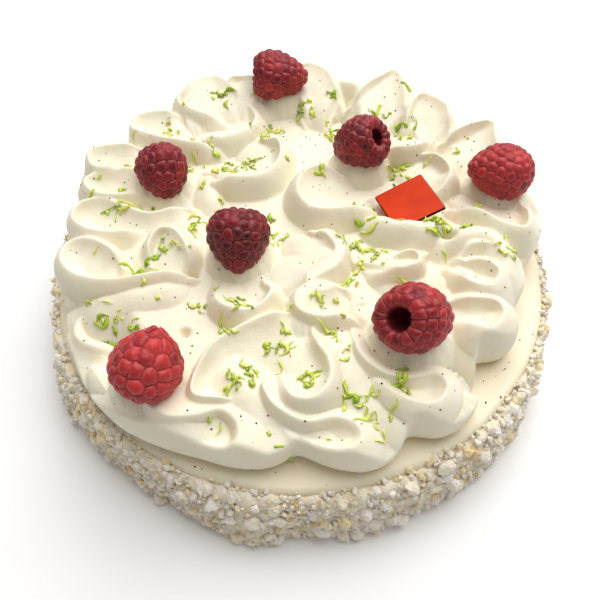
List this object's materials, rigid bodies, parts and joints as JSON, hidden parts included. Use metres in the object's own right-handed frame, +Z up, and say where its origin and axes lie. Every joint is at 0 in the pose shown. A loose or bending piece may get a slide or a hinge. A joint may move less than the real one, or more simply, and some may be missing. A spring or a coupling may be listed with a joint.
{
  "type": "pavlova cake",
  "caption": "Low round cake coated at the side with crushed meringue, its top covered with vanilla cream piped in winding ribbons and set with raspberries and a small square plaque.",
  "frame": {"origin": "centre of the flat underside of the round cake", "axes": "+Z up through the middle of the cake, -Y towards the front, +X to the right as seen from the front"},
  "size_m": [0.1889, 0.1949, 0.0621],
  "materials": {
    "icing": "smooth ivory icing with a soft sheen",
    "crushed_meringue": "dull, broken crumbs of baked meringue",
    "vanilla_cream": "whipped cream, smooth with a soft sheen, specked with vanilla seed",
    "coloured_chocolate": "thin coloured chocolate with a satin sheen",
    "raspberry_flesh": "fresh raspberry, dusty bloom over glossy drupelets",
    "lime_zest": "fresh lime zest, yellow-green shreds strewn on the cream",
    "vanilla_seed": "tiny dark vanilla seeds in the cream"
  },
  "bodies": {
    "root": {"iced_body": "icing", "meringue_coat": "crushed_meringue", "piped_cream": "vanilla_cream", "plaque": "coloured_chocolate", "raspberry_back": "raspberry_flesh", "raspberry_left": "raspberry_flesh", "raspberry_middle": "raspberry_flesh", "raspberry_right": "raspberry_flesh", "raspberry_centre": "raspberry_flesh", "raspberry_front": "raspberry_flesh", "raspberry_near": "raspberry_flesh"}
  },
  "joints": []
}
